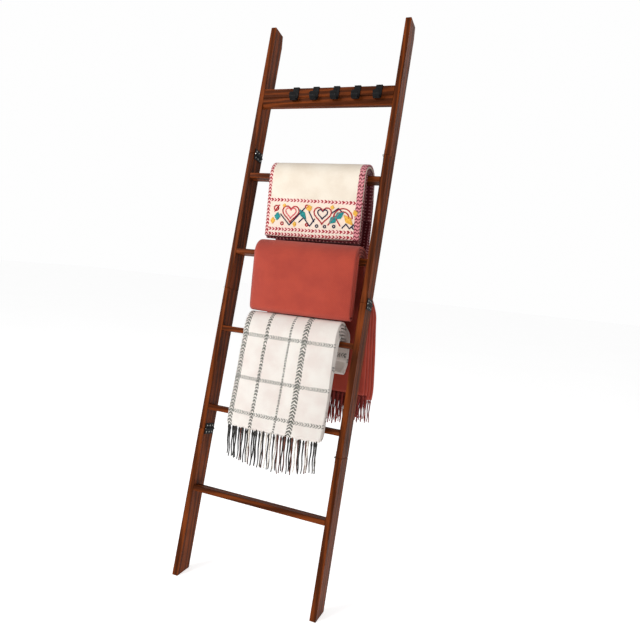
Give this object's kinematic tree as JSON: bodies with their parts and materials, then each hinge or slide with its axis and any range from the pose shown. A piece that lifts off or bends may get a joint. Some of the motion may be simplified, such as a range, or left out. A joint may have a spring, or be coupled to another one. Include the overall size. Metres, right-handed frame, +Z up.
{
  "type": "blanket ladder with throws",
  "caption": "Leaning wooden blanket ladder with jointed rails, a hook board with sliding strap hooks and folded throws over its rungs.",
  "frame": {"origin": "on the floor, midway between the rails and midway between the feet front edges and the wall", "axes": "+X to the right as seen from the front, +Y towards the wall that the ladder leans on, +Z up"},
  "size_m": [0.5018, 0.3826, 1.8],
  "materials": {
    "stained_wood": "satin stain over open grain",
    "dowel_wood": "plain turned beech",
    "black_steel": "satin black",
    "bright_steel": "bright zinc",
    "ivory_cotton": "ivory plain weave with a worked border",
    "rust_wool": "rust twill with a knotted fringe",
    "cream_wool": "cream brushed weave with dark stitched checks"
  },
  "bodies": {
    "ladder": {"hook_board": "stained_wood", "hook_board_left_lower_dowel": "dowel_wood", "hook_board_left_upper_dowel": "dowel_wood", "hook_board_right_lower_dowel": "dowel_wood", "hook_board_right_upper_dowel": "dowel_wood", "left_hinge_1_lower_leaf": "black_steel", "left_hinge_1_pin": "bright_steel", "left_hinge_1_upper_leaf": "black_steel", "left_hinge_2_lower_leaf": "black_steel", "left_hinge_2_pin": "bright_steel", "left_hinge_2_upper_leaf": "black_steel", "left_hinge_3_lower_leaf": "black_steel", "left_hinge_3_pin": "bright_steel", "left_hinge_3_upper_leaf": "black_steel", "left_rail_1": "stained_wood", "left_rail_2": "stained_wood", "left_rail_3": "stained_wood", "left_rail_4": "stained_wood", "right_hinge_1_lower_leaf": "black_steel", "right_hinge_1_pin": "bright_steel", "right_hinge_1_upper_leaf": "black_steel", "right_hinge_2_lower_leaf": "black_steel", "right_hinge_2_pin": "bright_steel", "right_hinge_2_upper_leaf": "black_steel", "right_hinge_3_lower_leaf": "black_steel", "right_hinge_3_pin": "bright_steel", "right_hinge_3_upper_leaf": "black_steel", "right_rail_1": "stained_wood", "right_rail_2": "stained_wood", "right_rail_3": "stained_wood", "right_rail_4": "stained_wood", "rung_1": "stained_wood", "rung_1_left_dowel": "dowel_wood", "rung_1_right_dowel": "dowel_wood", "rung_2": "stained_wood", "rung_2_left_dowel": "dowel_wood", "rung_2_right_dowel": "dowel_wood", "rung_3": "stained_wood", "rung_3_left_dowel": "dowel_wood", "rung_3_right_dowel": "dowel_wood", "rung_4": "stained_wood", "rung_4_left_dowel": "dowel_wood", "rung_4_right_dowel": "dowel_wood", "rung_5": "stained_wood", "rung_5_left_dowel": "dowel_wood", "rung_5_right_dowel": "dowel_wood"},
    "hook_1": {"hook_1": "black_steel"},
    "hook_2": {"hook_2": "black_steel"},
    "hook_3": {"hook_3": "black_steel"},
    "hook_4": {"hook_4": "black_steel"},
    "hook_5": {"hook_5": "black_steel"},
    "embroidered_throw": {"embroidered_throw": "ivory_cotton"},
    "rust_throw": {"rust_throw": "rust_wool", "rust_throw_fringe": "rust_wool"},
    "plaid_throw": {"plaid_throw": "cream_wool", "plaid_throw_fringe": "cream_wool"}
  },
  "joints": [
    {"name": "hook_1_slide", "type": "slide", "parent": "ladder", "child": "hook_1", "axis": [1, 0, 0], "range_m": [-0.1, 0.023]},
    {"name": "hook_2_slide", "type": "slide", "parent": "ladder", "child": "hook_2", "axis": [1, 0, 0], "range_m": [-0.023, 0.023]},
    {"name": "hook_3_slide", "type": "slide", "parent": "ladder", "child": "hook_3", "axis": [1, 0, 0], "range_m": [-0.023, 0.023]},
    {"name": "hook_4_slide", "type": "slide", "parent": "ladder", "child": "hook_4", "axis": [1, 0, 0], "range_m": [-0.023, 0.023]},
    {"name": "hook_5_slide", "type": "slide", "parent": "ladder", "child": "hook_5", "axis": [1, 0, 0], "range_m": [-0.023, 0.034]},
    {"name": "embroidered_throw_slide", "type": "slide", "parent": "ladder", "child": "embroidered_throw", "axis": [1, 0, 0], "range_m": [-0.085, 0.03]},
    {"name": "rust_throw_slide", "type": "slide", "parent": "ladder", "child": "rust_throw", "axis": [1, 0, 0], "range_m": [-0.085, 0.008]},
    {"name": "plaid_throw_slide", "type": "slide", "parent": "ladder", "child": "plaid_throw", "axis": [1, 0, 0], "range_m": [-0.08, 0.03]}
  ]
}
